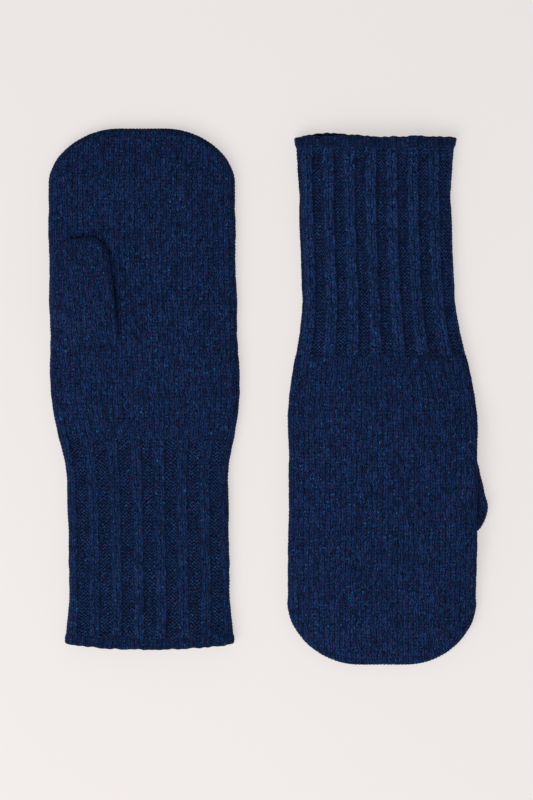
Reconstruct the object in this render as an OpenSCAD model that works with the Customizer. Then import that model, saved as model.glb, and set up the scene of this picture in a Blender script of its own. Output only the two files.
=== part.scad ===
// A pair of knitted mittens lying flat side by side: the left one palm up with its fingertips away,
// the right one back up with its fingertips near. Each mitten is made of a back and a palm panel
// linked round the edge, a ribbed cuff with a firm welt, and a thumb linked to a round opening.
// Each sub-part is drawn in the mitten's own frame: origin at the middle of the wrist on the back,
// +Y to the fingertips, +Z to the palm, thumb on -X. place() then lays it in the pair.

/* [Hand] */
// Width of the hand across the knuckles, laid flat
hand_width = 100; // [92:1:108]
// Length from the wrist, where the ribs end, to the fingertips
hand_length = 163; // [150:1:175]
// Height of the hollow hand as it lies relaxed
loft = 14; // [14:0.5:16]
// Thickness of one layer of the knitted fabric
fabric = 2; // [1.8:0.1:2.2]
// Radius of the rounded corners beside the fingertips
tip_radius = 34; // [28:1:38]
// Distance from the wrist over which the hand widens
widening = 28; // [20:1:34]

/* [Cuff] */
// Width of the mitten at the wrist
wrist_width = 91; // [86:1:92]
// Width of the ribbed cuff at its waist
cuff_width = 85; // [80:1:86]
// Width across the welt at the open end
welt_width = 88; // [84:1:92]
// Length of the left cuff with its welt
left_cuff_length = 111; // [90:1:130]
// Length of the right cuff with its welt
right_cuff_length = 115; // [90:1:130]
// Length of the welt along the cuff
welt_length = 5; // [4:0.5:7]
// Number of raised ribs on each face
ribs = 6; // [4:1:6]
// Distance from one rib to the next
rib_pitch = 12; // [10:0.2:12]
// Width of one raised rib
rib_width = 5.6; // [4:0.2:7]
// How far a rib stands out of the cuff
rib_relief = 1; // [0.6:0.1:1.2]

/* [Thumb] */
// Width of the thumb, laid flat
thumb_width = 33; // [30:1:35]
// Length of the thumb from its base seam to its tip
thumb_length = 57; // [50:1:60]
// Height of the hollow thumb as it lies relaxed
thumb_loft = 8.4; // [8.4:0.1:9]
// Radius of the corners at the thumb's tip
thumb_corner = 9; // [7:0.5:12]
// Distance from the middle of the hand to the middle of the thumb's base
thumb_offset = 29.5; // [28:0.5:30]
// Distance from the wrist to the thumb's base seam
thumb_start = 47; // [42:1:52]
// Outer radius of the linked seam round the thumb opening
opening_radius = 12.9; // [12:0.1:13]
// How far the left thumb lies swung out from the hand, in degrees
left_thumb_swing = 3.5; // [0:0.5:15]
// How far the right thumb lies swung out from the hand, in degrees
right_thumb_swing = 20; // [0:0.5:22]

/* [Pair] */
// Distance between the middles of the two mittens
pair_spacing = 125; // [115:0.5:200]

/* [Hidden] */
LEFT = 0;
RIGHT = 1;
cuff_length = [left_cuff_length, right_cuff_length];
thumb_swing = [left_thumb_swing, right_thumb_swing];

clearance = 0.3;                     // running gap between parts that move
seam_gap = 0.1;                      // gap between a seam band and the panels it joins
seam_height = 1.6;                   // height of a linked edge seam
seam_stand = 0.4;                    // how far an edge seam stands out of the panels
yarn_radius = 0.7;                   // radius of the yarn along the thumb's base seam
slice_depth = 0.1;                   // thickness of a cross-section that is hulled with the next
reach = 200;                         // longer than any part, for cutting solids
thumb_seat = yarn_radius + 0.2;      // height of the thumb's base axis above the palm under it
opening_height = fabric + 0.6;       // height of the linked seam in the thumb opening
hollow_overrun = 1;                  // how far a hollow is cut past an open end
wrist_step = 2;                      // how much narrower than the hand the cuff starts
welt_step = 1;                       // how much wider than the cuff the welt is
waist_distance = 55;                 // the waist of the cuff, from the wrist
ring_steps = 12;                     // points round each half-round end of the cuff
cuff_steps = 6;                      // rings along the cuff
rib_end_gap = 2;                     // plain fabric past each end of a rib
rib_root = 0.5;                      // how deep a rib is rooted in the cuff
wedge_length = 14;                   // over this length the thumb rises from its base seam
base_height = 2.4;                   // height of the thumb at its base seam
swing_room = 22;                     // half width of the room that the swinging thumb needs
base_room = 15;                      // room behind the base seam of a swinging thumb
tip_room = 4;                        // room past the tip of the thumb
right_thumb_peek = 7;                // how far the right thumb shows past the hand's edge
fingertip_reach = 141;               // from the middle of the pair to each mitten's fingertips
base_inset = 3;                      // how much narrower the thumb is at its base, on each side

// The right thumb lies under its palm, which gives way; the left one lies on its palm.
palm_level = [loft, loft - thumb_loft - thumb_seat];
thumb_pivot = [-thumb_offset, thumb_start + opening_radius + clearance];
middle = loft / 2;
// The pair is centred on the origin, with the fingertips of each as far out as the other's.
left_x = -(pair_spacing + right_thumb_peek) / 2;
right_x = left_x + pair_spacing;
left_wrist_y = fingertip_reach - hand_length;
right_wrist_y = -left_wrist_y;

module knit(shade = 1) color([0.075, 0.13, 0.25] * shade) children();

module place(side) {
    if (side == LEFT)
        translate([left_x, left_wrist_y, 0]) children();
    else
        translate([right_x, right_wrist_y, loft]) rotate([0, 0, 180]) mirror([0, 0, 1]) children();
}

// A flat oval with round ends, centred, wide along X and high along Y
module oval(width, height) {
    square([width - height, height], center = true);
    for (end = [-1, 1])
        translate([end * (width - height) / 2, 0]) circle(d = height, $fn = 24);
}

// A thin cross-section of a flattened tube, at y, standing on z = lift
module slice(y, width, height, lift) {
    translate([0, y + slice_depth / 2, lift + height / 2])
        rotate([90, 0, 0]) linear_extrude(slice_depth) oval(width, height);
}

// A disc with a full round edge
module round_disc(radius, height) {
    rotate_extrude($fn = 32) intersection() {
        union() {
            translate([0, -height / 2]) square([radius - height / 2, height]);
            translate([radius - height / 2, 0]) circle(d = height, $fn = 20);
        }
        translate([0, -height]) square([radius + 1, 2 * height]);
    }
}

// Everything between two heights
module layer(low, high) {
    translate([-reach, -reach, low]) cube([2 * reach, 2 * reach, high - low]);
}

// The outer form of the hand, grown by a margin; a negative margin gives the hollow inside
module hand_form(margin = 0) {
    height = loft + 2 * margin;
    past_end = margin < 0 ? hollow_overrun : 0;
    corner = tip_radius + margin;
    hull() {
        slice(-past_end, wrist_width + 2 * margin, height, -margin);
        slice(widening, hand_width + 2 * margin, height, -margin);
        for (end = [-1, 1])
            translate([end * (hand_width / 2 - tip_radius), hand_length - tip_radius, middle])
                round_disc(corner, height);
    }
}

// The room that a thumb lying under the palm takes out of the hand; nothing on the left mitten
module thumb_room(side, margin = 0) {
    if (side == RIGHT)
        translate([-reach, thumb_start - base_room - margin, palm_level[side] - margin])
            cube([
                reach - thumb_offset + swing_room + margin,
                base_room + thumb_length + tip_room + 2 * margin,
                reach
            ]);
}

// The fabric of the hand, one layer thick, wrapped round its hollow and round the thumb's room
module hand_fabric(side) {
    difference() {
        hand_form();
        thumb_room(side);
        difference() {
            hand_form(-fabric);
            thumb_room(side, fabric);
        }
    }
}

module hand_back(side) {
    knit() difference() {
        hand_form();
        hand_form(-fabric);
        layer(middle - seam_height / 2 - seam_gap, reach);
        thumb_room(side, fabric + seam_gap);
    }
}

module hand_palm(side) {
    knit(1.05) difference() {
        hand_fabric(side);
        difference() {
            layer(-reach, middle + seam_height / 2 + seam_gap);
            thumb_room(side, fabric);
        }
        translate([thumb_pivot.x, thumb_pivot.y, palm_level[side] - fabric - 1])
            cylinder(r = opening_radius + clearance, h = fabric + 2, $fn = 64);
    }
}

module hand_seam(side) {
    knit(0.8) difference() {
        hand_form(seam_stand);
        hand_form(-fabric);
        layer(-reach, middle - seam_height / 2);
        layer(middle + seam_height / 2, reach);
        translate([-reach, -reach, -reach]) cube([2 * reach, reach, 2 * reach]);
        thumb_room(side, fabric + seam_gap);
    }
}

// The points of a flat oval with half-round ends, standing across the cuff at y
function oval_ring(y, width, height) = [
    for (end = [0, 1], step = [0 : ring_steps])
        let (angle = 180 * (end + step / ring_steps) - 90)
            [(0.5 - end) * (width - height) + height / 2 * cos(angle), y, middle + height / 2 * sin(angle)]
];

// A closed solid through a row of rings with the same number of points
module lofted(rings) {
    count = len(rings[0]);
    last = (len(rings) - 1) * count;
    sides = [
        for (row = [0 : count : last - count], i = [0 : count - 1], half = [0, 1])
            let (next = (i + 1) % count)
                half == 0 ? [row + i, row + count + i, row + next]
                    : [row + next, row + count + i, row + count + next]
    ];
    first_cap = [for (i = [0 : count - 1]) i];
    last_cap = [for (i = [count - 1 : -1 : 0]) last + i];
    polyhedron(points = [for (ring = rings) each ring], faces = concat(sides, [first_cap, last_cap]));
}

// The width of the cuff at a distance from the wrist: it narrows to a waist and widens to the welt
function cuff_width_at(distance, length) = distance < waist_distance
    ? cuff_width + (wrist_width - wrist_step - cuff_width) * pow(1 - distance / waist_distance, 2)
    : cuff_width + (welt_width - welt_step - cuff_width)
        * pow((distance - waist_distance) / (length - waist_distance), 2);

// The ribbed cuff without its ribs, grown by a margin, from the wrist to the welt
module cuff_form(side, margin = 0) {
    height = loft - 2 * rib_relief + 2 * margin;
    past_end = margin < 0 ? hollow_overrun : 0;
    length = cuff_length[side] - welt_length - clearance;
    lofted([
        for (step = [0 : cuff_steps])
            let (
                distance = length * step / cuff_steps,
                past = step == 0 ? past_end : step == cuff_steps ? -past_end : 0
            )
                oval_ring(past - clearance - distance, cuff_width_at(distance, length) + 2 * margin, height)
    ]);
}

// One face's ribs, standing on the cuff from z = lift
module rib_bars(side, lift) {
    length = cuff_length[side] - welt_length - 2 * rib_end_gap;
    for (i = [0 : ribs - 1])
        translate([(i - (ribs - 1) / 2) * rib_pitch - rib_width / 2, -rib_end_gap - length, lift])
            cube([rib_width, length, rib_relief + rib_root]);
}

module cuff_panel(side, low, high, rib_lift) {
    difference() {
        union() {
            cuff_form(side);
            rib_bars(side, rib_lift);
        }
        cuff_form(side, -fabric);
        layer(-reach, low);
        layer(high, reach);
    }
}

module cuff_back(side) {
    knit() cuff_panel(side, 0, middle - seam_height / 2 - seam_gap, 0);
}

module cuff_palm(side) {
    knit(1.05) cuff_panel(side, middle + seam_height / 2 + seam_gap, loft, loft - rib_relief - rib_root);
}

module cuff_seams(side) {
    knit(0.8) difference() {
        cuff_form(side);
        cuff_form(side, -fabric);
        layer(-reach, middle - seam_height / 2);
        layer(middle + seam_height / 2, reach);
    }
}

module cuff_welt(side) {
    inner = 2 * (fabric + rib_relief);
    knit(0.9) translate([0, welt_length - cuff_length[side] - seam_gap, middle])
        rotate([90, 0, 0]) linear_extrude(welt_length - seam_gap) difference() {
            oval(welt_width, loft);
            oval(welt_width - inner, loft - inner);
        }
}

// Turns a thumb part, drawn from the middle of its base seam, to where it lies on the palm
module thumb_place(side) {
    translate([thumb_pivot.x, thumb_pivot.y, palm_level[side] + thumb_seat])
        rotate([0, 0, thumb_swing[side]])
            translate([0, thumb_start - thumb_pivot.y, 0]) children();
}

// The outer form of the thumb, grown by a margin; a negative margin gives the hollow inside
module thumb_form(margin = 0) {
    height = thumb_loft + 2 * margin;
    base_start = yarn_radius + clearance - margin;
    corner = thumb_corner + margin;
    hull() {
        translate([base_inset - thumb_width / 2 - margin, base_start, -margin])
            cube([thumb_width - 2 * (base_inset - margin), 1, base_height + margin]);
        slice(wedge_length, thumb_width + 2 * margin, height, -margin);
        for (end = [-1, 1])
            translate([end * (thumb_width / 2 - thumb_corner), thumb_length - thumb_corner, thumb_loft / 2])
                round_disc(corner, height);
    }
}

module thumb_mouth() {
    translate([0, thumb_pivot.y - thumb_start, -1])
        cylinder(r = opening_radius - fabric, h = fabric + 2, $fn = 64);
}

module thumb_shell(low, high) {
    difference() {
        thumb_form();
        thumb_form(-fabric);
        thumb_mouth();
        layer(-reach, low);
        layer(high, reach);
    }
}

module thumb_top(side) {
    knit(1.1) thumb_place(side)
        thumb_shell(thumb_loft / 2 + seam_height / 2 + seam_gap, thumb_loft);
}

module thumb_under(side) {
    knit() thumb_place(side)
        thumb_shell(0, thumb_loft / 2 - seam_height / 2 - seam_gap);
}

module thumb_edge_seam(side) {
    knit(0.8) thumb_place(side)
        thumb_shell(thumb_loft / 2 - seam_height / 2, thumb_loft / 2 + seam_height / 2);
}

// The linked seam: a ring in the palm's opening, and the line of yarn where the thumb folds
module thumb_opening_seam(side) {
    base_width = thumb_width - base_inset;
    knit(0.8) thumb_place(side) {
        translate([0, thumb_pivot.y - thumb_start, -thumb_seat - fabric]) difference() {
            cylinder(r = opening_radius, h = opening_height, $fn = 64);
            translate([0, 0, -1]) cylinder(r = opening_radius - fabric, h = opening_height + 2, $fn = 64);
        }
        translate([-base_width / 2, 0, 0]) rotate([0, 90, 0])
            cylinder(r = yarn_radius, h = base_width, $fn = 24);
    }
}

place(LEFT) hand_back(LEFT);  // left_hand_back
place(LEFT) hand_palm(LEFT);  // left_hand_palm
place(LEFT) hand_seam(LEFT);  // left_hand_seam
place(LEFT) cuff_back(LEFT);  // left_cuff_back
place(LEFT) cuff_palm(LEFT);  // left_cuff_palm
place(LEFT) cuff_seams(LEFT);  // left_cuff_seams
place(LEFT) cuff_welt(LEFT);  // left_cuff_welt
place(LEFT) thumb_opening_seam(LEFT);  // left_thumb_opening_seam
place(LEFT) thumb_top(LEFT);  // left_thumb_top
place(LEFT) thumb_under(LEFT);  // left_thumb_under
place(LEFT) thumb_edge_seam(LEFT);  // left_thumb_edge_seam
place(RIGHT) hand_back(RIGHT);  // right_hand_back
place(RIGHT) hand_palm(RIGHT);  // right_hand_palm
place(RIGHT) hand_seam(RIGHT);  // right_hand_seam
place(RIGHT) cuff_back(RIGHT);  // right_cuff_back
place(RIGHT) cuff_palm(RIGHT);  // right_cuff_palm
place(RIGHT) cuff_seams(RIGHT);  // right_cuff_seams
place(RIGHT) cuff_welt(RIGHT);  // right_cuff_welt
place(RIGHT) thumb_opening_seam(RIGHT);  // right_thumb_opening_seam
place(RIGHT) thumb_top(RIGHT);  // right_thumb_top
place(RIGHT) thumb_under(RIGHT);  // right_thumb_under
place(RIGHT) thumb_edge_seam(RIGHT);  // right_thumb_edge_seam
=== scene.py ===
"""A pair of knitted mittens lying flat: the left one palm up, the right one back up.

Shapes are worked out in each mitten's own flat frame, in millimetres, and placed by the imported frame.
"""
import math

import bpy
import numpy as np
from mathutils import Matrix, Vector


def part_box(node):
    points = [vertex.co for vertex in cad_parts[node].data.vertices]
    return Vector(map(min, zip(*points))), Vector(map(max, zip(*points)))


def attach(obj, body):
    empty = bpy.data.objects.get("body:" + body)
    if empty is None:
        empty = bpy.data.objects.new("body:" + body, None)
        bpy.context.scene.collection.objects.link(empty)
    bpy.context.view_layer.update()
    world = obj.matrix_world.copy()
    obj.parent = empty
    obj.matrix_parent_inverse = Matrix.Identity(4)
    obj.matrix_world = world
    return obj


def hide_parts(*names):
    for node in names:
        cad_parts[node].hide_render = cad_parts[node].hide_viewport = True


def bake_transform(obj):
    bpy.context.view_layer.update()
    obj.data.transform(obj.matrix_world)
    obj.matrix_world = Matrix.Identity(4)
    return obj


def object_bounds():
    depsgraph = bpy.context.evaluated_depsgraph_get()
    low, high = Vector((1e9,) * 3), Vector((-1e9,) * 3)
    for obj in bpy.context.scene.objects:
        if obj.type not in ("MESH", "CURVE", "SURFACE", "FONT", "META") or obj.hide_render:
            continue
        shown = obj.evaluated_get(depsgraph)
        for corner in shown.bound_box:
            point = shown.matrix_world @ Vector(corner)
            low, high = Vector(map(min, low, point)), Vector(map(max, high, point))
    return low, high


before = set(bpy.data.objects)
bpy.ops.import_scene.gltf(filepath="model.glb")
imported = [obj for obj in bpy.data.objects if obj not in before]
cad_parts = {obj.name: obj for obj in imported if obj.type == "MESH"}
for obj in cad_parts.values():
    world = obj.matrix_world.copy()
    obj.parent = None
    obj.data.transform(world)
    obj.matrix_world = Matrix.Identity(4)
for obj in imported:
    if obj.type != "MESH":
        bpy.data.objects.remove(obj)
cad_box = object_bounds()

MM = 0.001
TAU = 2 * math.pi

# The knit: one wale is a column of stitches, one course a row
WALES_ACROSS = 36
COURSE = 1.87
COLUMNS_PER_WALE = 7
ROWS_PER_COURSE = 4
RIB_WALES = 5          # two knit wales and three purl wales
STITCH_RELIEF = 0.5
THUMB_RELIEF = 0.34
WELT_RELIEF = 0.4
UNEVEN_RELIEF = 0.35   # how much the relief varies from stitch to stitch, as a share
FABRIC = 2.0
LEG_CLIMB = 3.0        # how steeply a stitch's legs climb, in courses per wale
LEG_WAIST = 0.26       # how much thinner a leg is where the next stitch holds it
WALE_MIDDLE = 0.35     # how high the middle of a wale stands between its legs
PURL_WAVE = 0.3        # how far a purl row waves, in courses

LOWEST = 0.02          # no point is lower than this above the floor
INNER_STEP = 8         # a panel's inner face has one point for this many on its outer face
TIP_PROUD = 0.4        # how far the fingertips stand past the CAD panel
WALES_ROUND_HAND = 38  # across a panel and round its edges
WALES_ROUND_THUMB = 15
CLOSED_END_ROWS = np.array([1.5, 1.1, 0.75, 0.45, 0.22, 0.07, 0.0])   # from the tip
CUFF_TUCK = 0.6        # how far the cuff's panels run under the welt

WELT_COLUMNS = 230     # in each layer
WELT_THICK = 2.7
WELT_LIP = 1.35

LINKING_RADIUS = 0.42
THUMB_LINKING_RADIUS = 0.4
BASE_LINKING_RADIUS = 0.3
BASE_LINKING_STEP = 1.4
STITCH_SIDES = 6
STITCH_END = 0.35      # a linking stitch's end, as a share of its thickness
STITCH_SLANT = 0.33
YARN_PATTERN = 1.3     # millimetres of linking yarn for one wale of its material's pattern

CUFF_BLEND = 40.0      # how far from the wrist the cuff's second marked point lies
THUMB_BLEND = 22.0     # how far from its base the thumb's second marked point lies

# What differs between the two mittens, in millimetres unless it says otherwise
MEASURES = {
    "left": {
        "turn": 1,                    # -1 for a mitten that points the other way in the row's frame
        "corner_reach": 30.5,         # from the fingertips to where their corners start
        "hand_half": 49.2,
        "cuff_half": 42.2,
        "wrist_spread": 26,           # the width changes over this length on each side of the wrist
        "heel": 0.7,                  # how far the heel of the hand stands out
        "flare": 1.7,                 # how much the cuff widens at its mouth
        "flare_start": -72,
        "lean": (0.63, -0.28, -2.59, 2.36),   # sideways, a polynomial of y / 100
        "knit_share": 0.46,           # the knit wales' share of a rib's width
        "rib_place": 0.25,            # in wales
        "rib_relief": 1.15,
        "purl_share": 0.72,           # how plainly the purl wales differ from the knit ones, in relief and in painted shade, 0 to 1
        "mouth_bow": 2.6,             # how far the mouth's corners lie back
        "mouth_shift": 0.3,
        "mouth_dip": 0.0,             # a dip near the middle of the mouth
        "under_layer": 0.0,           # how far the lower layer shows past the upper one
        "welt_swell": 0.6,
        "thumb_x": -30.3,
        "thumb_y": 48.0,
        "thumb_degrees": 2.2,         # from the mitten's length
        "seed": 11,
    },
    "right": {
        "turn": -1,
        "corner_reach": 32.5,
        "hand_half": 49.5,
        "cuff_half": 40.0,
        "wrist_spread": 34,
        "heel": 0.2,
        "flare": 2.0,
        "flare_start": -80,
        "lean": (-1.11, 1.44, 2.28, -3.39, -1.0),
        "knit_share": 0.54,
        "rib_place": -1.4,
        "rib_relief": 2.0,
        "purl_share": 0.95,
        "mouth_bow": 0.6,
        "mouth_shift": 0.4,
        "mouth_dip": 0.9,
        "under_layer": 2.2,
        "welt_swell": 0.95,
        "thumb_x": -26.9,
        "thumb_y": 41.0,
        "thumb_degrees": 18.0,
        "seed": 47,
    },
}
THUMB_MEASURES = {
    "left": {"corner_reach": 14, "end_flat": 4.5, "thick": 7.8, "taper": 0.2, "tip_skew": 0.07},
    "right": {"corner_reach": 15.5, "end_flat": 3.5, "thick": 8.1, "taper": 0.0, "tip_skew": 0.0},
}


# ---------------------------------------------------------------- smooth and random functions

def smoothstep(start, end, value):
    """0 before start to 1 after end, with a smooth rise between them."""
    t = np.clip((value - start) / (end - start), 0, 1)
    return t * t * (3 - 2 * t)


def ripple(x, y, seed, size):
    """A smooth random surface between about -1 and 1, with bumps about size millimetres long."""
    waves = 7
    random = np.random.default_rng(seed)
    total = np.zeros(np.broadcast(x, y).shape)
    for _ in range(waves):
        angle, phase = random.uniform(0, TAU, 2)
        length = size * random.uniform(0.7, 1.6)
        total += np.sin(TAU * (x * math.cos(angle) + y * math.sin(angle)) / length + phase)
    return total / (waves / 2)


def patches(x, y, seed):
    """Smooth random patches between -1 and 1, one unit across."""
    side = 61
    table = np.random.default_rng(seed).uniform(-1, 1, (side, side))
    column = np.floor(x).astype(int)
    lower_row = np.floor(y).astype(int)
    across = smoothstep(0, 1, x - column)
    up = smoothstep(0, 1, y - lower_row)

    def along(row):
        left = table[row % side, column % side]
        right = table[row % side, (column + 1) % side]
        return left * (1 - across) + right * across

    return along(lower_row) * (1 - up) + along(lower_row + 1) * up


# ---------------------------------------------------------------- the stitches

def knit_relief(wale, course):
    """Height of plain knitting, 0 in the gaps to 1 on the yarn: a wale is a row of V-shaped stitches."""
    across = np.abs(wale - np.floor(wale) - 0.5)
    leg = np.sqrt(np.abs(np.sin(TAU * across)))
    middle = WALE_MIDDLE * np.maximum(1 - 4 * across, 0) ** 2
    climb = np.cos(TAU * (course - LEG_CLIMB * across))
    return (leg + middle) * (1 - LEG_WAIST + LEG_WAIST * climb)


def purl_relief(wale, course):
    """Height of purl knitting: one wavy ridge a course."""
    return 0.5 + 0.5 * np.cos(TAU * (course + PURL_WAVE * np.cos(TAU * wale)))


def stitch_bumps(pouch, wale, course, purl, relief):
    """How far the yarn stands out from the fabric's middle surface, in millimetres."""
    bumps = knit_relief(wale, course) * (1 - purl) + purl_relief(wale, course) * purl
    uneven = 1 + UNEVEN_RELIEF * patches(wale * 1.3, course * 0.9, pouch.seed + 3)
    return relief * (bumps - 0.5) * uneven


# ---------------------------------------------------------------- the shapes

class Pouch:
    """A flat knitted bag with a rounded closed end at y = length, made of an upper and a lower panel.

    x runs across, y along and z up. Its panels meet at a seam round its edge.
    """

    corner_power = 1.93

    def side_width(self, y):
        raise NotImplementedError

    def half_width(self, y):
        """Half the width at y, with the rounded corners of the closed end."""
        t = np.clip((y - self.corner_start) / (self.length - self.corner_start), 0, 1)
        corner = (1 - t ** self.corner_power) ** (1 / self.corner_power)
        return self.end_flat + (self.side_width(y) - self.end_flat) * corner

    def inset(self, x, y):
        """How far a point is inside the outline, less than 0 outside it, and the outward direction."""
        p = self.corner_power
        over_x = np.maximum(np.abs(x) - self.end_flat, 0)
        over_y = np.maximum(y - self.corner_start, 1e-6)
        wide = self.side_width(y) - self.end_flat
        deep = self.length - self.corner_start
        radius = ((over_x / wide) ** p + (over_y / deep) ** p) ** (1 / p)
        slope_x = over_x ** (p - 1) / wide ** p
        slope_y = over_y ** (p - 1) / deep ** p
        steep = np.hypot(slope_x, slope_y)
        out_x = slope_x / steep
        out_y = slope_y / steep
        corner = (1 / radius - 1) * (over_x * out_x + over_y * out_y)
        side = self.side_width(y) - np.abs(x)
        in_corner = y > self.corner_start
        out_x = np.where(in_corner, out_x, 1.0) * np.sign(x)
        out_y = np.where(in_corner, out_y, 0.0)
        return np.where(in_corner, corner, side), out_x, out_y

    def fabric(self, y):
        """The thickness of the knitted layer."""
        return FABRIC + 0 * y

    def edge_profile(self, depth):
        """0 at the outline to 1 where the rounded edge ends."""
        return np.sqrt(1 - (1 - np.clip(depth / self.edge_round, 0, 1)) ** 2)

    def stitch_grid(self, x, y):
        """Wale and course numbers at a point, measured over the rounded edge."""
        depth, out_x, out_y = self.inset(x, y)
        r = self.edge_round
        over = 1 - np.clip(depth / r, 0, 1)
        extra = r * (np.arcsin(over) - over)
        wale = (x + extra * out_x) / self.wale_width(y) - self.rib_shift
        return wale, (y + extra * out_y) / COURSE

    def uneven(self, wale, course):
        """Wale and course with the natural unevenness of knitting."""
        size, per_wale, per_course = self.sway
        swayed = size * patches(wale * per_wale, course * per_course, self.seed)
        shaken = self.shake * patches(wale, course, self.seed + 1)
        wale = wale + swayed + shaken
        size, per_wale, per_course = self.drift
        return wale, course + size * patches(wale * per_wale, course * per_course, self.seed + 2)

    def across(self, y, columns):
        """Points spread evenly over the cross-section, round its edges, from one seam to the other."""
        half = self.half_width(y)[:, None]
        r = self.edge_round
        quarter = r * math.pi / 2
        way = np.linspace(-1, 1, columns)[None, :]
        from_seam = (1 - np.abs(way)) * (quarter + half - r)
        round_part = r * (1 - np.cos(np.minimum(from_seam / r, math.pi / 2)))
        flat_part = np.maximum(from_seam - quarter, 0)
        return np.sign(way) * (half - round_part - flat_part)


class Mitten(Pouch):
    """The hand and the cuff of one mitten; y is 0 at the wrist and negative along the cuff."""

    end_flat = 12.5
    edge_round = 4.6
    seam_height = 4.8
    welt_length = 6.5
    # The stitches' unevenness: size in wales or courses, then patches per wale and per course
    sway = (0.13, 0.9, 0.45)
    shake = 0.1
    drift = (0.3, 0.6, 0.6)
    # Heights above the seam and the floor
    edge_rise = 4.2
    cuff_crown = 1.7
    hand_crown = 2.2       # more than the cuff's
    floor_gap = 0.25
    # The right mitten's room for the thumb that lies under its palm
    room_across = (12, -14)
    room_start = (-16, 14)
    room_end = (133, 97)
    room_palm_lift = 8.7
    room_seam_lift = 6.0
    room_edge_loss = 1.7

    def __init__(self, side):
        self.side = side
        self.left = side == "left"
        for name, value in MEASURES[side].items():
            setattr(self, name, value)
        hand_low, hand_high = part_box(f"{side}_hand_back")
        welt_low, welt_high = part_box(f"{side}_cuff_welt")
        wrist = hand_low.y if self.left else hand_high.y
        welt_end = welt_low.y if self.left else welt_high.y
        self.origin_x = (welt_low.x + welt_high.x) / 2 / MM
        self.origin_y = wrist / MM
        self.length = (hand_high.y - hand_low.y) / MM + TIP_PROUD
        self.corner_start = self.length - self.corner_reach
        self.cuff_length = abs(welt_end - wrist) / MM
        self.welt_start = -self.cuff_length + self.welt_length
        self.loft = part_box("left_hand_palm")[1].z / MM
        self.rib_shift = self.rib_place + RIB_WALES / 2
        self.thumb_swing = math.radians(self.thumb_degrees)

    def hand_spread(self, y):
        """How much wider than the cuff one side of the mitten is."""
        return smoothstep(-self.wrist_spread, self.wrist_spread, y) * (self.hand_half - self.cuff_half)

    def side_width(self, y):
        past_start = np.maximum(self.flare_start - y, 0)
        flare = self.flare * np.minimum(past_start / 34, 1.05) ** 2
        heel = self.heel * np.exp(-((y - 24) / 20) ** 2)
        wobble = 0.2 * ripple(y, 0 * y, self.seed, 22) + 0.12 * ripple(y, 0 * y, self.seed + 1, 6)
        return self.cuff_half + self.hand_spread(y) + heel + flare + wobble

    def wale_width(self, y):
        return 2 * (self.cuff_half + self.hand_spread(y)) / WALES_ACROSS

    def rib_phase(self, x, y):
        """Where a point lies in its rib: 0 in the middle of the knit column, 0.5 in the purl one's."""
        wale, _ = self.stitch_grid(x, y)
        rib = np.round(wale / RIB_WALES)
        return wale / RIB_WALES - rib, rib

    def yarn_place(self, x, y):
        """Wale and course of each point, with the purl wales of a rib drawn together."""
        wale, course = self.stitch_grid(x, y)
        phase, rib = self.rib_phase(x, y)
        half = self.knit_share / 2
        from_knit = np.abs(phase)
        in_knit = from_knit / half
        in_purl = 1 + (from_knit - half) / (0.5 - half) * (RIB_WALES / 2 - 1)
        ribbed = RIB_WALES * rib + np.sign(phase) * np.where(from_knit < half, in_knit, in_purl)
        wale = wale + (ribbed - wale) * self.ribbing(y)
        return self.uneven(wale, course)

    def thumb_room(self, x, y):
        """1 over the right mitten's thumb, which lies under its palm, and 0 away from it."""
        if self.left:
            return np.zeros(np.broadcast(x, y).shape)
        cos = math.cos(self.thumb_swing)
        sin = math.sin(self.thumb_swing)
        up_thumb = (y - self.thumb_y) * cos - (x - self.thumb_x) * sin
        along = smoothstep(*self.room_start, up_thumb)
        return smoothstep(*self.room_across, x) * along * smoothstep(*self.room_end, y)

    def ribbing(self, y):
        """1 along the ribbed cuff and 0 on the hand."""
        return smoothstep(3.5, -2.5, y)

    def purl(self, x, y):
        """0 on the knit wales, up to 1 on the purl wales of the ribbed cuff, and 0 on the hand."""
        phase, _ = self.rib_phase(x, y)
        half = self.knit_share / 2
        return self.purl_share * smoothstep(half - 0.03, half + 0.03, np.abs(phase)) * self.ribbing(y)

    def rib_depth(self, x, y):
        """How deep the purl wales sink between the knit ones."""
        phase, _ = self.rib_phase(x, y)
        half = self.knit_share / 2
        in_welt = smoothstep(self.welt_start + 6, self.welt_start - 2, y)
        fade = self.ribbing(y + 1) * (1 - 0.7 * in_welt)
        crown = 0.12
        curved = crown * np.clip(np.abs(phase) / half, 0, 1) ** 2
        sunk = smoothstep(half - 0.05, half + 0.09, np.abs(phase))
        return self.rib_relief * fade * (curved + (1 - crown) * sunk)

    def height(self, x, y, upper):
        """Height of the upper or the lower layer above the floor."""
        depth, _, _ = self.inset(x, y)
        edge = self.edge_profile(depth)
        room = self.thumb_room(x, y)
        seam = self.seam_height + self.room_seam_lift * room
        soft = ripple(x, y, self.seed + upper, 45) * smoothstep(2, 14, depth)
        ribs = self.rib_depth(x, y) * edge
        if upper:
            crown = self.cuff_crown + self.hand_crown * smoothstep(-30, 20, y)
            crown = crown * smoothstep(3, 24, depth) * (1 - room)
            rise = self.edge_rise - self.room_edge_loss * room
            return seam + rise * edge + crown + 0.35 * soft - ribs
        floor = self.room_palm_lift * room + self.floor_gap + 0.15 * soft
        return seam + (floor - seam) * edge + ribs

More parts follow.
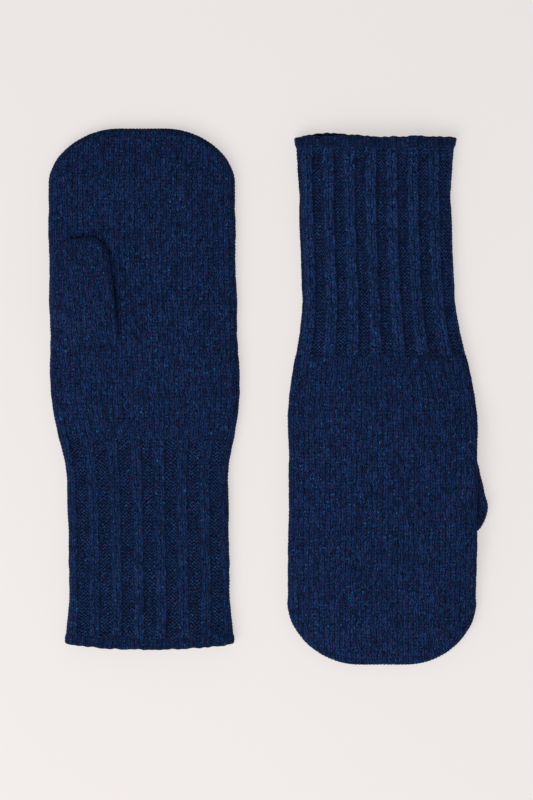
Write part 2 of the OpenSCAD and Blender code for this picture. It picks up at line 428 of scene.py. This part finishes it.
    def mouth_line(self, x, y, upper):
        """How far a point near the cuff's mouth lies back from a straight mouth."""
        near_mouth = smoothstep(-0.6 * self.cuff_length, -self.cuff_length, y)
        at_mouth = smoothstep(self.welt_start + 16, self.welt_start - 5, y)
        across = np.clip(x / self.cuff_half, -1.1, 1.1)
        inside = smoothstep(0, 5, self.side_width(y) - np.abs(x))
        dip = self.mouth_dip * np.exp(-((x + 5) / 8) ** 2)
        drawn_in = dip + self.mouth_bow * across ** 2 - self.mouth_shift
        under = 0 if upper else self.under_layer * np.exp(-((x - 24) / 17) ** 2)
        long_wave = 0.22 * ripple(x, 9.0 * upper, self.seed + 5, 12)
        short_wave = 0.25 * ripple(x, 5.0 * upper, self.seed + 8, 4)
        return drawn_in * near_mouth - (long_wave + short_wave + under) * inside * at_mouth

    def shape(self, x, y, z, upper):
        """The natural lie of the mitten: a slight curve along it, a bowed mouth and a wavy edge."""
        return x + np.polyval(self.lean, y / 100), y + self.mouth_line(x, y, upper), z

    def place(self, x, y, z):
        """Millimetres in the mitten's flat frame to metres in the row frame."""
        return np.stack([
            (self.origin_x + self.turn * x) * MM,
            (self.origin_y + self.turn * y) * MM,
            z * MM,
        ], axis=-1)


class Thumb(Pouch):
    """A thumb lying on the left palm or under the right one; y is 0 at its base seam.

    Its heights are measured from the palm that it lies on.
    """

    length = 57.0
    edge_round = 3.4
    rib_shift = 0.5
    base_half = 17.1
    narrowing = 2.7        # how much narrower each side is at the tip
    wale = 2.62
    sway = (0.2, 0.8, 0.5)
    shake = 0.14
    drift = (0.4, 0.7, 0.6)
    seam_share = 0.45      # the seam's height, as a share of the thickness
    crown_share = 0.13
    fabric_share = 0.42
    thinnest = 0.2
    base_sink = 0.5        # how far the base starts below the palm's surface
    base_rise = 0.85       # and how far it rises from there
    overhang = 3.2         # the palm counts as flat past this distance from its edge

    def __init__(self, mitten):
        self.mitten = mitten
        self.left = mitten.left
        for name, value in THUMB_MEASURES[mitten.side].items():
            setattr(self, name, value)
        self.outward = 1 if self.left else -1
        self.corner_start = self.length - self.corner_reach
        self.seed = mitten.seed + 100

    def side_width(self, y):
        narrower = self.narrowing * np.clip(y / self.length, 0, 1) ** 2
        return self.base_half - narrower + 0.25 * ripple(y, 0 * y, self.seed, 14)

    def wale_width(self, y):
        return self.wale + 0 * y

    def yarn_place(self, x, y):
        return self.uneven(*self.stitch_grid(x, y))

    def purl(self, x, y):
        return np.zeros(np.broadcast(x, y).shape)

    def thickness(self, y):
        """How thick the thumb is: nothing at its base seam, and thinner again towards the left one's tip."""
        return self.thick * smoothstep(0, 20, y) * (1 - self.taper * smoothstep(25, self.length, y))

    def fabric(self, y):
        return np.clip(self.fabric_share * self.thickness(y), self.thinnest, FABRIC)

    def height(self, x, y, upper):
        """Height of the layer that is away from the palm, or of the one against it."""
        depth, _, _ = self.inset(x, y)
        edge = self.edge_profile(depth)
        thick = self.thickness(y)
        seam = self.seam_share * thick
        soft = ripple(x, y, self.seed + upper, 24) * smoothstep(1, 8, depth)
        if upper == self.left:
            crown = self.crown_share * smoothstep(1, 12, depth) + 0.04 * soft
            return seam + ((1 - self.crown_share) * thick - seam) * edge + crown * thick
        return seam * (1 - edge)

    def palm_height(self, x, y):
        """The palm's surface, carried on past its rounded edge."""
        depth, out_x, out_y = self.mitten.inset(x, y)
        inward = np.maximum(self.overhang - depth, 0)
        return self.mitten.height(x - inward * out_x, y - inward * out_y, self.left)

    def shape(self, x, y, z, upper):
        """The thumb turned to its place on the mitten and laid on the palm."""
        cos = math.cos(self.mitten.thumb_swing)
        sin = math.sin(self.mitten.thumb_swing)
        skewed = y + self.tip_skew * x * smoothstep(0.5 * self.length, self.length, y)
        turned_x = self.mitten.thumb_x + x * cos - skewed * sin
        turned_y = self.mitten.thumb_y + x * sin + skewed * cos
        clear = self.base_rise * smoothstep(0, 9, y) - self.base_sink
        palm = self.palm_height(turned_x, turned_y)
        x_hand, y_hand, palm = self.mitten.shape(turned_x, turned_y, palm, True)
        return x_hand, y_hand, palm + self.outward * (clear + z)

    def place(self, x, y, z):
        return self.mitten.place(x, y, z)


# ---------------------------------------------------------------- mesh helpers

def new_piece(name, points, faces, stitch, purl, smooth_count=None):
    """A mesh object; stitch is each point's wale and course, and faces past smooth_count are flat."""
    mesh = bpy.data.meshes.new(name)
    mesh.from_pydata(points, [], faces)
    smooth = [smooth_count is None or i < smooth_count for i in range(len(faces))]
    mesh.polygons.foreach_set("use_smooth", smooth)
    corner = np.zeros(len(mesh.loops), np.int32)
    mesh.loops.foreach_get("vertex_index", corner)
    layer = mesh.uv_layers.new(name="Knit")
    layer.data.foreach_set("uv", stitch[corner].astype(np.float32).ravel())
    attribute = mesh.attributes.new("purl", "FLOAT", "POINT")
    attribute.data.foreach_set("value", purl.astype(np.float32))
    mesh.update()
    piece = bpy.data.objects.new(name, mesh)
    bpy.context.scene.collection.objects.link(piece)
    return piece


def normals(points):
    """Unit normals of a grid of points, for columns running along +x and rows along +y."""
    along_rows = np.gradient(points, axis=0)
    along_columns = np.gradient(points, axis=1)
    out = np.cross(along_columns, along_rows)
    return out / np.maximum(np.linalg.norm(out, axis=-1, keepdims=True), 1e-9)


def grid_quads(index):
    """The quads between the points of a grid of vertex numbers."""
    corners = [index[:-1, :-1], index[:-1, 1:], index[1:, 1:], index[1:, :-1]]
    return np.stack(corners, axis=-1).reshape(-1, 4)


def as_faces(quads, flip):
    return [tuple(quad) for quad in (quads[:, ::-1] if flip else quads).tolist()]


def border(index):
    """The vertex numbers round the edge of a grid, as one loop."""
    return np.concatenate([index[0, :-1], index[:-1, -1], index[-1, :0:-1], index[:0:-1, 0]])


def rim_faces(outer, inner, steps, flip):
    """Triangles from a fine loop to a coarse one; steps is the fine loop's place at each coarse point."""
    faces = []
    count = len(outer)
    coarse = len(inner)
    for i in range(coarse):
        following = (i + 1) % coarse
        start = steps[i]
        end = steps[following] if i + 1 < coarse else count
        middle = (start + end) // 2
        for j in range(start, end):
            near = inner[i] if j < middle else inner[following]
            faces.append((outer[j], near, outer[(j + 1) % count]))
        faces.append((inner[i], inner[following], outer[middle % count]))
    return [face[::-1] for face in faces] if flip else faces


def every(count, step):
    """Indices from 0 to count - 1, a step apart, with the last one always there."""
    picked = list(range(0, count - 1, step))
    return np.array(picked + [count - 1])


def row_places(start, end, closed):
    """Rows along a panel, at ROWS_PER_COURSE a course, and closer together at a closed end."""
    count = round((end - start) / COURSE * ROWS_PER_COURSE)
    ys = np.linspace(start, end, count + 1)
    if closed:
        room = CLOSED_END_ROWS[0] + 0.2
        ys = np.concatenate([ys[ys < end - room], end - CLOSED_END_ROWS])
    return ys


def shell_faces(fine, coarse, pick, upper):
    """Faces of a closed shell from its outer grid, its inner grid and the rim, and how many are smooth."""
    edge = border(fine)
    where = {vertex: i for i, vertex in enumerate(edge)}
    steps = [where[vertex] for vertex in border(fine[pick])]
    faces = as_faces(grid_quads(fine), flip=not upper)
    faces += as_faces(grid_quads(coarse), flip=upper)
    smooth_count = len(faces)
    faces += rim_faces(edge.tolist(), border(coarse).tolist(), steps, flip=not upper)
    return faces, smooth_count


# ---------------------------------------------------------------- knitted pieces

def panel(name, pouch, ys, columns, upper, relief=STITCH_RELIEF):
    """One knitted panel as a closed shell: a fine outer face, a coarse inner face and a rim."""
    x = pouch.across(ys, columns)
    y = np.repeat(ys[:, None], columns, axis=1)
    wale, course = pouch.yarn_place(x, y)
    purl = pouch.purl(x, y)
    lying = np.stack(pouch.shape(x, y, pouch.height(x, y, upper), upper), axis=-1)
    out = normals(lying) * (1 if upper else -1)
    outer = lying + out * stitch_bumps(pouch, wale, course, purl, relief)[..., None]
    outer[..., 2] = np.maximum(outer[..., 2], LOWEST)

    pick = np.ix_(every(len(ys), INNER_STEP), every(columns, INNER_STEP))
    inner = lying[pick] - out[pick] * pouch.fabric(y[pick])[..., None]
    fine = np.arange(outer.size // 3).reshape(outer.shape[:2])
    coarse = fine.size + np.arange(inner.size // 3).reshape(inner.shape[:2])
    faces, smooth_count = shell_faces(fine, coarse, pick, upper)

    points = np.concatenate([outer.reshape(-1, 3), inner.reshape(-1, 3)])
    stitch = np.stack([wale, course], axis=-1)
    stitch = np.concatenate([stitch.reshape(-1, 2), stitch[pick].reshape(-1, 2)])
    purls = np.concatenate([purl.ravel(), purl[pick].ravel()])
    placed = pouch.place(points[:, 0], points[:, 1], points[:, 2])
    return new_piece(name, placed, faces, stitch, purls, smooth_count)


def welt_profile(mitten):
    """Along the band's profile, down its outside and back up its inside: y, depth inwards and swelling."""
    start = mitten.welt_start
    end = -mitten.cuff_length
    legs = np.linspace(start, end + WELT_LIP, 14)
    turn = np.linspace(0, math.pi, 9)[1:-1]
    ys = np.concatenate([legs, end + WELT_LIP - WELT_LIP * np.sin(turn), legs[::-1]])
    lip_depth = WELT_THICK / 2 * (1 - np.cos(turn))
    inwards = np.concatenate([0 * legs, lip_depth, 0 * legs + WELT_THICK])
    swell = mitten.welt_swell * smoothstep(0, 3.0, start - ys)
    return ys, inwards, swell


def welt_ring(mitten, y, inward, swell):
    """One ring of points round the cuff, with the wale and course of each."""
    x = mitten.across(np.array([y]), WELT_COLUMNS + 1)[0]
    high = mitten.height(x, y + 0 * x, True)
    low = mitten.height(x, y + 0 * x, False)
    loop_x = np.concatenate([x[:-1], x[:0:-1]])
    loop_y = y + 0 * loop_x
    loop_z = np.concatenate([high[:-1], low[:0:-1]])
    in_upper = np.arange(2 * WELT_COLUMNS) < WELT_COLUMNS
    upper_layer, lower_layer = [mitten.shape(loop_x, loop_y, loop_z, upper) for upper in (True, False)]
    loop = np.stack([np.where(in_upper, a, b) for a, b in zip(upper_layer, lower_layer)], axis=-1)
    tangent = np.roll(loop, -1, axis=0) - np.roll(loop, 1, axis=0)
    out = np.stack([-tangent[:, 2], 0 * tangent[:, 0], tangent[:, 0]], axis=-1)
    out /= np.linalg.norm(out, axis=-1, keepdims=True)
    wale, course = mitten.stitch_grid(loop_x, loop_y)
    course = course - inward / COURSE
    bumps = WELT_RELIEF * (knit_relief(wale, course) - 0.5) * (1 - inward / WELT_THICK)
    return loop + out * (swell - inward + bumps)[:, None], np.stack([wale, course], axis=-1)


def welt(name, mitten):
    """The firm band round the cuff's mouth, as one closed ring with a rounded lip."""
    profile = list(zip(*welt_profile(mitten)))
    rings = []
    stitches = []
    for y, inward, swell in profile:
        ring, stitch = welt_ring(mitten, y, inward, swell)
        rings.append(ring)
        stitches.append(stitch)
    points = np.concatenate(rings)
    points[:, 2] = np.maximum(points[:, 2], LOWEST)
    columns = 2 * WELT_COLUMNS
    index = np.arange(len(profile) * columns).reshape(len(profile), columns)
    index = np.concatenate([index, index[:, :1]], axis=1)
    index = np.concatenate([index, index[:1]], axis=0)
    faces = as_faces(grid_quads(index.T), flip=False)
    placed = mitten.place(points[:, 0], points[:, 1], points[:, 2])
    return new_piece(name, placed, faces, np.concatenate(stitches), np.zeros(len(placed)))


# ---------------------------------------------------------------- linking stitches

def tube_rings(path, radius):
    """Points of a round-ended tube along a few points, ring by ring."""
    path = np.array(path)
    tangents = np.gradient(path, axis=0)
    tangents /= np.linalg.norm(tangents, axis=-1, keepdims=True)
    widths = [STITCH_END] + [1.0] * (len(path) - 2) + [STITCH_END]
    points = []
    for centre, tangent, width in zip(path, tangents, widths):
        side = np.cross(tangent, [0.31, 0.17, 0.93])
        side /= np.linalg.norm(side)
        up = np.cross(tangent, side)
        for k in range(STITCH_SIDES):
            angle = TAU * k / STITCH_SIDES
            points.append(centre + radius * width * (math.cos(angle) * side + math.sin(angle) * up))
    return points


def tube_faces(first, rings):
    """Faces of one such tube, with its two ends closed."""
    faces = []
    for ring in range(rings - 1):
        for k in range(STITCH_SIDES):
            a = first + ring * STITCH_SIDES + k
            b = first + ring * STITCH_SIDES + (k + 1) % STITCH_SIDES
            faces.append((a, b, b + STITCH_SIDES, a + STITCH_SIDES))
    last = first + (rings - 1) * STITCH_SIDES
    faces.append(tuple(first + k for k in reversed(range(STITCH_SIDES))))
    faces.append(tuple(last + k for k in range(STITCH_SIDES)))
    return faces


def yarn_stitches(name, paths, radius, place):
    """Short lengths of yarn as one piece."""
    points = []
    faces = []
    for path in paths:
        faces += tube_faces(len(points), len(path))
        points += tube_rings(path, radius)
    points = np.array(points)
    placed = place(points[:, 0], points[:, 1], points[:, 2])
    return new_piece(name, placed, faces, points[:, :2] / YARN_PATTERN, np.zeros(len(points)))


def as_point(coordinates):
    return [float(np.squeeze(value)) for value in coordinates]


def edge_point(pouch, x, y, up):
    """A point on the rounded edge near the seam; up runs from -1 below the seam to 1 above it."""
    depth = 0.32 * abs(up) ** 2
    _, out_x, out_y = pouch.inset(x, y)
    inner_x = x - out_x * depth
    inner_y = y - out_y * depth
    z = pouch.height(inner_x, inner_y, up > 0)
    return as_point(pouch.shape(inner_x - 0.1 * out_x, inner_y - 0.1 * out_y, z, True))


def outline_walk(pouch, start, end, step):
    """Points along one side of an outline from y = start, and over a closed end to its middle."""
    if end > pouch.corner_start:
        corner = np.sin(np.linspace(0, math.pi / 2, 300))
        ys = np.concatenate([
            np.linspace(start, pouch.corner_start, 400),
            pouch.corner_start + (pouch.length - pouch.corner_start) * corner,
        ])
        flat_end = np.linspace(pouch.end_flat, 0, 60)[1:]
        xs = np.concatenate([pouch.half_width(ys), flat_end])
        ys = np.concatenate([ys, np.full(len(flat_end), pouch.length)])
    else:
        ys = np.linspace(start, end, 600)
        xs = pouch.half_width(ys)
    way = np.concatenate([[0], np.cumsum(np.hypot(np.diff(xs), np.diff(ys)))])
    marks = np.arange(step / 2, way[-1], step)
    return np.interp(marks, way, xs), np.interp(marks, way, ys)


def edge_seam(name, pouch, start, end, radius=LINKING_RADIUS):
    """The linked seam: a slanting stitch at each course, along both sides and round a closed end."""
    xs, ys = outline_walk(pouch, start, end, COURSE)
    paths = []
    for side in (-1, 1):
        for x, y in zip(xs, ys):
            x = np.array([side * x])
            y = np.array([min(y, pouch.length - 0.02)])
            slant = STITCH_SLANT * np.sign(x)
            heights = (-1.0, -0.5, 0.0, 0.5, 1.0)
            paths.append([edge_point(pouch, x, y + slant * up, up) for up in heights])
    return yarn_stitches(name, paths, radius, pouch.place)


def thumb_base_seam(name, thumb):
    """The row of linking stitches where the thumb's outer layer joins the palm."""
    half = float(np.squeeze(thumb.side_width(np.array([0.0])))) - 1.6
    count = round(2 * half / BASE_LINKING_STEP)
    paths = []
    for i in range(count + 1):
        x = np.array([-half + 2 * half * i / count])
        path = []
        for along in (-1.0, -0.4, 0.3, 1.0, 1.6):
            lift = 0.2 + 0.45 * (1 - (along / 1.7) ** 2)
            lying = thumb.shape(x + 0.25 * along, np.array([along]), np.array([lift]), True)
            path.append(as_point(lying))
        paths.append(path)
    return yarn_stitches(name, paths, BASE_LINKING_RADIUS, thumb.place)


# ---------------------------------------------------------------- materials

class Shader:
    """A short way to write a node material."""

    def __init__(self, name):
        self.material = bpy.data.materials.new(name)
        self.material.use_nodes = True
        self.nodes = self.material.node_tree.nodes
        self.links = self.material.node_tree.links
        self.surface = self.nodes["Principled BSDF"]

    def feed(self, socket, value):
        if isinstance(value, bpy.types.NodeSocket):
            self.links.new(value, socket)
        else:
            socket.default_value = value

    def math(self, operation, a, b=0.0, clamp=False):
        node = self.nodes.new("ShaderNodeMath")
        node.operation = operation
        node.use_clamp = clamp
        self.feed(node.inputs[0], a)
        self.feed(node.inputs[1], b)
        return node.outputs[0]

    def times(self, a, b):
        return self.math("MULTIPLY", a, b)

    def cosine_of_turns(self, turns):
        return self.math("COSINE", self.times(turns, TAU))

    def range(self, value, low, high, to_low=0.0, to_high=1.0):
        node = self.nodes.new("ShaderNodeMapRange")
        for socket, number in zip(node.inputs, (value, low, high, to_low, to_high)):
            self.feed(socket, number)
        return node.outputs[0]

    def join(self, x, y, z=0.0):
        node = self.nodes.new("ShaderNodeCombineXYZ")
        for socket, number in zip(node.inputs, (x, y, z)):
            self.feed(socket, number)
        return node.outputs[0]

    def noise(self, vector, scale, detail=2.0, rough=0.5):
        node = self.nodes.new("ShaderNodeTexNoise")
        self.feed(node.inputs["Vector"], vector)
        node.inputs["Scale"].default_value = scale
        node.inputs["Detail"].default_value = detail
        node.inputs["Roughness"].default_value = rough
        return node.outputs["Fac"]

    def cells(self, vector):
        """A random number for each whole cell of the vector."""
        node = self.nodes.new("ShaderNodeTexWhiteNoise")
        node.noise_dimensions = "3D"
        self.feed(node.inputs["Vector"], vector)
        return node.outputs["Value"]

    def mix(self, factor, a, b):
        node = self.nodes.new("ShaderNodeMix")
        node.data_type = "RGBA"
        self.feed(node.inputs["Factor"], factor)
        self.feed(node.inputs["A"], a)
        self.feed(node.inputs["B"], b)
        return node.outputs["Result"]

    def knit_place(self):
        """Each point's wale and course."""
        node = self.nodes.new("ShaderNodeUVMap")
        node.uv_map = "Knit"
        split = self.nodes.new("ShaderNodeSeparateXYZ")
        self.links.new(node.outputs["UV"], split.inputs[0])
        return split.outputs[0], split.outputs[1]

    def attribute(self, name):
        node = self.nodes.new("ShaderNodeAttribute")
        node.attribute_name = name
        return node.outputs["Fac"]


def colour(red, green, blue):
    """A display colour, 0 to 255, as the linear colour that shaders use."""
    def linear(c):
        c = c / 255
        return c / 12.92 if c <= 0.04045 else ((c + 0.055) / 1.055) ** 2.4
    return (linear(red), linear(green), linear(blue), 1.0)


TEAL = colour(4, 74, 132)
PURPLE = colour(70, 58, 124)
BRIGHT_FLECK = colour(6, 130, 176)
DARK_STITCH = colour(3, 12, 38)
DARK_FIBRE = colour(1, 6, 24)
DARK_STREAK = colour(6, 14, 40)
# painted shade: the near-black colour that the yarn turns to in the gaps and pits between the stitches
GAP_SHADE = colour(0, 3, 16)
PURL_SHADE_SHARE = 0.9       # painted shade: the sunken purl wales are darkened to this share of the knit wales' colour
FUZZ = 0.2


def leg_distance(s, wale):
    """How far a point is from the middle of its wale."""
    return s.math("ABSOLUTE", s.math("SUBTRACT", s.math("FRACT", wale), 0.5))


def yarn_height(s, wale, course, across, stitch, purl_share):
    """The same heights as knit_relief and purl_relief."""
    leg = s.math("SQRT", s.math("ABSOLUTE", s.math("SINE", s.times(across, TAU))))
    middle = s.math("MAXIMUM", s.math("SUBTRACT", 1.0, s.times(across, 4.0)), 0.0)
    middle = s.times(s.times(middle, middle), WALE_MIDDLE)
    waist = s.math("ADD", s.times(s.cosine_of_turns(stitch), LEG_WAIST), 1 - LEG_WAIST)
    knit = s.times(s.math("ADD", leg, middle), waist)
    ridge = s.math("ADD", course, s.times(s.cosine_of_turns(wale), PURL_WAVE))
    purl = s.times(s.math("ADD", s.cosine_of_turns(ridge), 1.0), 0.5)
    return s.math("ADD", s.times(knit, s.math("SUBTRACT", 1.0, purl_share)), s.times(purl, purl_share))


def heathered_yarn(s, wale, course, stitch, base, seed):
    """Navy yarn with teal and purple fibres, dark stitches, fibres and streaks, and rare bright flecks."""
    def spun(along, per_wale, per_course, shift, *noise):
        place = s.join(s.times(wale, per_wale), s.times(along, per_course), seed + shift)
        return s.noise(place, *noise)

    teal = spun(course, 1.3, 0.8, 3, 1.3, 3.0, 0.7)
    purple = spun(course, 1.1, 0.7, 7, 1.4, 2.0, 0.7)
    fibre = spun(stitch, 3.0, 1.0, 0, 2.0, 3.0, 0.75)
    fleck = spun(course, 1.6, 1.0, 9, 1.7, 1.0, 0.5)
    streak = spun(course, 0.8, 0.14, 17, 1.0, 2.0, 0.6)
    half_wale = s.math("FLOOR", s.times(wale, 2.0))
    each_stitch = s.cells(s.join(half_wale, s.math("FLOOR", stitch), seed))

    yarn = s.mix(s.range(teal, 0.4, 0.64), colour(*base), TEAL)
    yarn = s.mix(s.range(purple, 0.48, 0.68, 0.0, 0.7), yarn, PURPLE)
    yarn = s.mix(s.range(each_stitch, 0.0, 1.0, 0.0, 0.7), yarn, DARK_STITCH)
    yarn = s.mix(s.range(fibre, 0.45, 0.63, 0.0, 0.9), yarn, DARK_FIBRE)
    yarn = s.mix(s.range(fleck, 0.68, 0.75, 0.0, 0.8), yarn, BRIGHT_FLECK)
    return s.mix(s.range(streak, 0.38, 0.66, 0.0, 0.35), yarn, DARK_STREAK)


def add_hairs(s, wale, stitch, seed):
    """Fine bumps, an uneven roughness and a soft sheen from the yarn's loose hairs."""
    hair = s.noise(s.join(s.times(wale, 6.0), s.times(stitch, 3.0), seed + 5), 3.0, 4.0, 0.7)
    bump = s.nodes.new("ShaderNodeBump")
    bump.inputs["Strength"].default_value = 0.6
    bump.inputs["Distance"].default_value = 0.00022
    s.links.new(hair, bump.inputs["Height"])
    s.links.new(bump.outputs["Normal"], s.surface.inputs["Normal"])
    s.links.new(s.range(hair, 0.3, 0.7, 0.82, 0.98), s.surface.inputs["Roughness"])
    s.surface.inputs["Specular IOR Level"].default_value = 0.1
    s.surface.inputs["Sheen Weight"].default_value = FUZZ
    s.surface.inputs["Sheen Roughness"].default_value = 0.32
    s.surface.inputs["Sheen Tint"].default_value = (0.2, 0.35, 0.75, 1.0)


def wool(name, base, seed=0.0):
    """Knitted heather wool, with painted shade: the yarn is darkened towards a near-black in the gaps and
    pits between the stitches, and on the sunken purl wales.
    """
    s = Shader(name)
    wale, course = s.knit_place()
    purl_share = s.attribute("purl")
    across = leg_distance(s, wale)
    stitch = s.math("SUBTRACT", course, s.times(across, LEG_CLIMB))
    height = yarn_height(s, wale, course, across, stitch, purl_share)
    yarn = heathered_yarn(s, wale, course, stitch, base, seed)
    # painted shade: noise pits between the stitches, darkened towards the gap colour
    pit_shade = s.noise(s.join(s.times(wale, 2.0), s.times(course, 1.2), seed + 13), 2.1, 1.0, 0.5)
    pit_shade = s.range(pit_shade, 0.52, 0.66, 0.0, 0.95)
    # painted shade by the yarn's height: full yarn colour on the tops, the gap colour in the hollows between
    # the stitches
    lit = s.math("SUBTRACT", s.range(height, 0.18, 0.72), pit_shade, clamp=True)
    # painted shade on the sunken purl wales
    lit = s.times(lit, s.range(purl_share, 0.0, 1.0, 1.0, PURL_SHADE_SHARE))
    s.links.new(s.mix(lit, GAP_SHADE, yarn), s.surface.inputs["Base Color"])
    add_hairs(s, wale, stitch, seed)
    return s.material


def pale_floor():
    """A floor that glows a little, so that shadows on it stay faint, as in a lightbox."""
    s = Shader("pale_floor")
    s.surface.inputs["Base Color"].default_value = (0.3, 0.285, 0.28, 1.0)
    s.surface.inputs["Roughness"].default_value = 0.9
    s.surface.inputs["Specular IOR Level"].default_value = 0.0
    s.surface.inputs["Emission Color"].default_value = (0.85, 0.81, 0.79, 1.0)
    s.surface.inputs["Emission Strength"].default_value = 0.66
    return s.material


# ---------------------------------------------------------------- the pair

def hand_and_cuff_pieces(mitten):
    """The mitten's pieces without its thumb: CAD node to (piece, body, slot)."""
    side = mitten.side
    hand = f"{side}_hand"
    cuff = f"{side}_cuff"
    columns = WALES_ROUND_HAND * COLUMNS_PER_WALE + 1
    hand_rows = row_places(0, mitten.length, True)
    cuff_rows = row_places(mitten.welt_start - CUFF_TUCK, 0, False)
    layers = ("palm", "back") if mitten.left else ("back", "palm")
    pieces = {}
    for upper, layer in zip((True, False), layers):
        made = panel(f"{side}_knit_hand_{layer}", mitten, hand_rows, columns, upper)
        pieces[f"{side}_hand_{layer}"] = (made, hand, "knit_hand")
        made = panel(f"{side}_ribbed_cuff_{layer}", mitten, cuff_rows, columns, upper)
        pieces[f"{side}_cuff_{layer}"] = (made, cuff, "knit_cuff")
    made = edge_seam(f"{side}_hand_linking", mitten, 0, mitten.length)
    pieces[f"{side}_hand_seam"] = (made, hand, "linking_yarn")
    made = edge_seam(f"{side}_cuff_linking", mitten, mitten.welt_start, 0)
    pieces[f"{side}_cuff_seams"] = (made, cuff, "linking_yarn")
    pieces[f"{side}_cuff_welt"] = (welt(f"{side}_cuff_edge_band", mitten), cuff, "knit_welt")
    return pieces


def thumb_pieces(thumb):
    """The thumb's pieces: CAD node to (piece, body, slot)."""
    side = thumb.mitten.side
    body = f"{side}_thumb"
    rows = row_places(0, thumb.length, True)
    columns = WALES_ROUND_THUMB * COLUMNS_PER_WALE + 1
    layers = ("top", "under") if thumb.left else ("under", "top")
    pieces = {}
    for upper, layer in zip((True, False), layers):
        made = panel(f"{side}_knit_thumb_{layer}", thumb, rows, columns, upper, THUMB_RELIEF)
        pieces[f"{side}_thumb_{layer}"] = (made, body, "knit_thumb")
    made = edge_seam(f"{side}_thumb_linking", thumb, 1.0, thumb.length, THUMB_LINKING_RADIUS)
    pieces[f"{side}_thumb_edge_seam"] = (made, body, "linking_yarn")
    made = thumb_base_seam(f"{side}_thumb_base_linking", thumb)
    pieces[f"{side}_thumb_opening_seam"] = (made, f"{side}_hand", "linking_yarn")
    return pieces


def cuff_bend(mitten):
    """Two points on the cuff's middle line at the loft's height: at the wrist and CUFF_BLEND millimetres
    along the cuff.
    """
    return [tuple(mitten.place(0.0, y, mitten.loft)) for y in (0.0, -CUFF_BLEND)]


def thumb_bend(thumb):
    """Two points on the thumb's middle line at floor height: at its base and THUMB_BLEND millimetres along
    it.
    """
    zero = np.zeros(1)
    ends = [as_point(thumb.shape(zero, np.full(1, y), zero, True)) for y in (0.0, THUMB_BLEND)]
    return [tuple(thumb.place(x, y, 0.0)) for x, y, _ in ends]


def build_mitten(side, looks):
    mitten = Mitten(side)
    thumb = Thumb(mitten)
    hand = f"{side}_hand"
    bends = {f"{side}_cuff": cuff_bend(mitten), f"{side}_thumb": thumb_bend(thumb)}
    pieces = {**hand_and_cuff_pieces(mitten), **thumb_pieces(thumb)}
    for node, (piece, body, slot) in pieces.items():
        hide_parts(node)
        piece.data.materials.append(looks[slot])
        if body == hand:
            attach(piece, hand)
        else:
            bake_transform(piece)


# ---------------------------------------------------------------- the studio

def add_camera():
    """A camera straight above the pair, with the pair a little off the frame's middle."""
    low, high = cad_box
    distance = 1.6
    frame_height = 0.4208
    camera = bpy.data.objects.new("camera", bpy.data.cameras.new("camera"))
    bpy.context.scene.collection.objects.link(camera)
    camera.location = (-0.0003, (low.y + high.y) / 2 - 0.0018, 0.010 + distance)
    camera.data.sensor_width = 36
    camera.data.lens = 36 * distance / frame_height
    camera.data.dof.use_dof = False
    bpy.context.scene.camera = camera


def add_light():
    """One large soft light from above the mouth of the left mitten."""
    light = bpy.data.lights.new("overhead", "AREA")
    light.shape = "SQUARE"
    light.size = 1.0
    light.energy = 13
    overhead = bpy.data.objects.new("overhead", light)
    overhead.location = (-0.42, -0.58, 1.1)
    aim = Vector((0, 0, 0)) - overhead.location
    overhead.rotation_mode = "QUATERNION"
    overhead.rotation_quaternion = aim.to_track_quat("-Z", "Y")
    bpy.context.scene.collection.objects.link(overhead)


def add_surroundings():
    """Even white light from all round."""
    world = bpy.data.worlds.new("studio")
    world.use_nodes = True
    world.node_tree.nodes["Background"].inputs["Color"].default_value = (1, 1, 1, 1)
    world.node_tree.nodes["Background"].inputs["Strength"].default_value = 0.45
    bpy.context.scene.world = world
    bpy.context.scene.view_settings.view_transform = "Standard"


def add_floor():
    size = 12.0
    corners = [(-size, -size, 0), (size, -size, 0), (size, size, 0), (-size, size, 0)]
    floor_mesh = bpy.data.meshes.new("floor")
    floor_mesh.from_pydata(corners, [], [(0, 1, 2, 3)])
    floor_mesh.materials.append(pale_floor())
    floor = bpy.data.objects.new("floor", floor_mesh)
    floor.location.z = -0.0002
    bpy.context.scene.collection.objects.link(floor)


add_camera()
add_light()
add_surroundings()
add_floor()
LOOKS = {
    "knit_hand": wool("heather_navy_hand", (36, 61, 121)),
    "knit_thumb": wool("heather_navy_thumb", (37, 59, 118), seed=40.0),
    "knit_welt": wool("heather_navy_welt", (23, 44, 92), seed=60.0),
    "linking_yarn": wool("heather_navy_linking", (27, 46, 96), seed=80.0),
}
LEFT_CUFF = wool("heather_navy_left_cuff", (38, 67, 126), seed=20.0)
# painted light: the right cuff is the same yarn and pattern as the left one, with its colour painted lighter
RIGHT_CUFF_PAINTED_LIGHTER = wool("heather_navy_right_cuff_painted_lighter", (49, 84, 154), seed=20.0)
build_mitten("left", {**LOOKS, "knit_cuff": LEFT_CUFF})
build_mitten("right", {**LOOKS, "knit_cuff": RIGHT_CUFF_PAINTED_LIGHTER})
